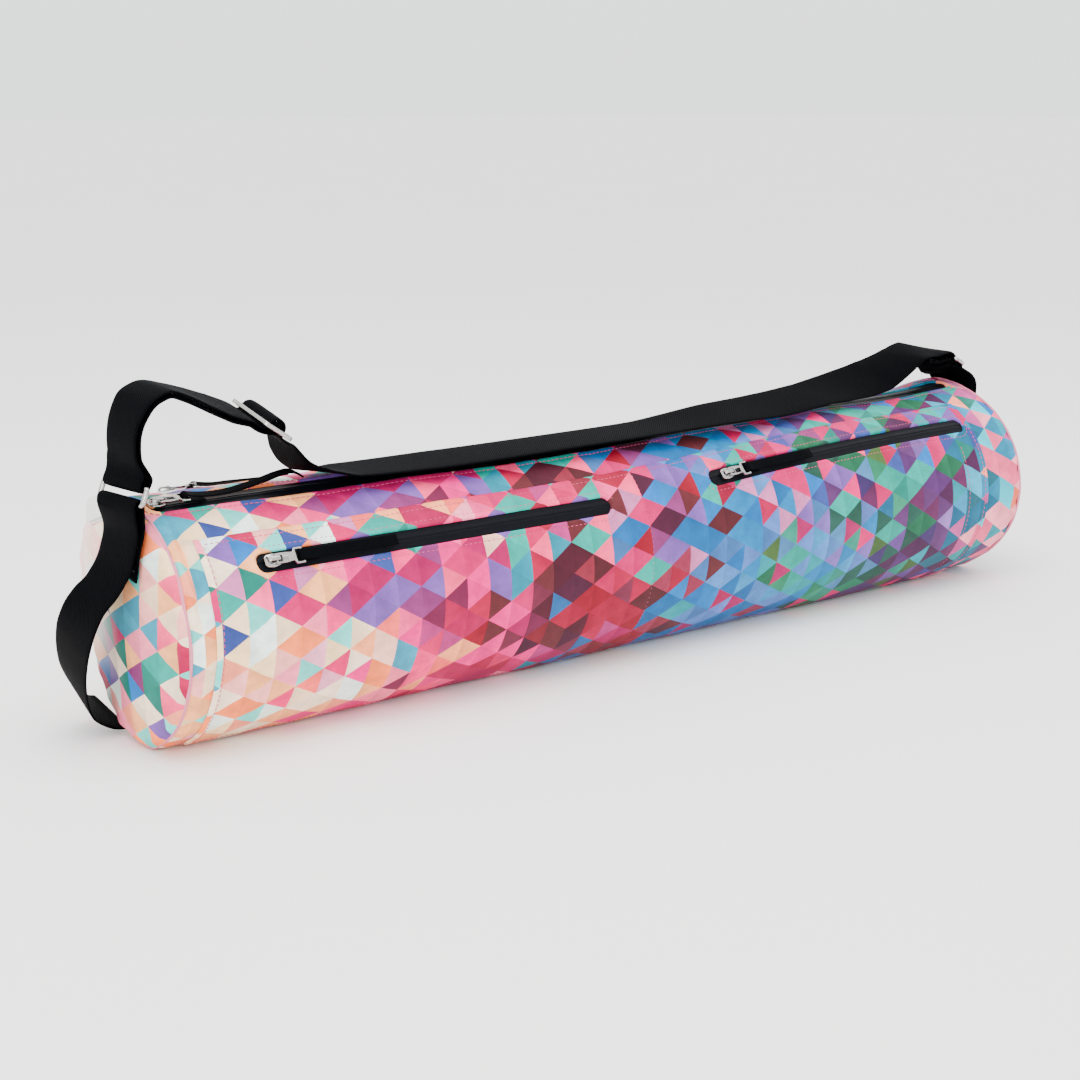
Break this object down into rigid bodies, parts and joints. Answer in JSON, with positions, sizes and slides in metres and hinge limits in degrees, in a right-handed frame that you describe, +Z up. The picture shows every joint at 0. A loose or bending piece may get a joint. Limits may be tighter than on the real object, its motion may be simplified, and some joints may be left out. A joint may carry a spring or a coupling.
{
  "type": "yoga mat bag",
  "caption": "Cylindrical yoga mat bag in a triangle print, with a full-length top zip, front pocket zips, end handles and a webbing shoulder strap.",
  "frame": {"origin": "middle of the flat underside that the bag rests on", "axes": "+X along the bag from its left end to its right end, -Y its front with the pocket panel, +Z up"},
  "size_m": [0.7632, 0.1414, 0.205],
  "materials": {
    "print": "matt printed",
    "end_print": "matt printed",
    "zip_tape": "satin coated",
    "webbing": "matt woven",
    "nickel": "polished",
    "label": "matt"
  },
  "bodies": {
    "root": {"body_panel": "print", "front_pocket_panel": "print", "end_panel_left": "end_print", "end_panel_right": "end_print", "main_zip": "zip_tape", "pocket_zip_left": "zip_tape", "pocket_zip_right": "zip_tape", "back_zip": "zip_tape", "slider_main": "nickel", "tab_main": "nickel", "pull_main": "zip_tape", "slider_left": "nickel", "tab_left": "nickel", "pull_left": "zip_tape", "slider_right": "nickel", "tab_right": "nickel", "pull_right": "zip_tape", "slider_back": "nickel", "tab_back": "nickel", "pull_back": "zip_tape", "ring_left": "nickel", "ring_right": "nickel", "strap_adjuster": "nickel", "shoulder_strap": "webbing", "end_handle_left": "webbing", "end_handle_right": "webbing", "care_label": "label"}
  },
  "joints": []
}
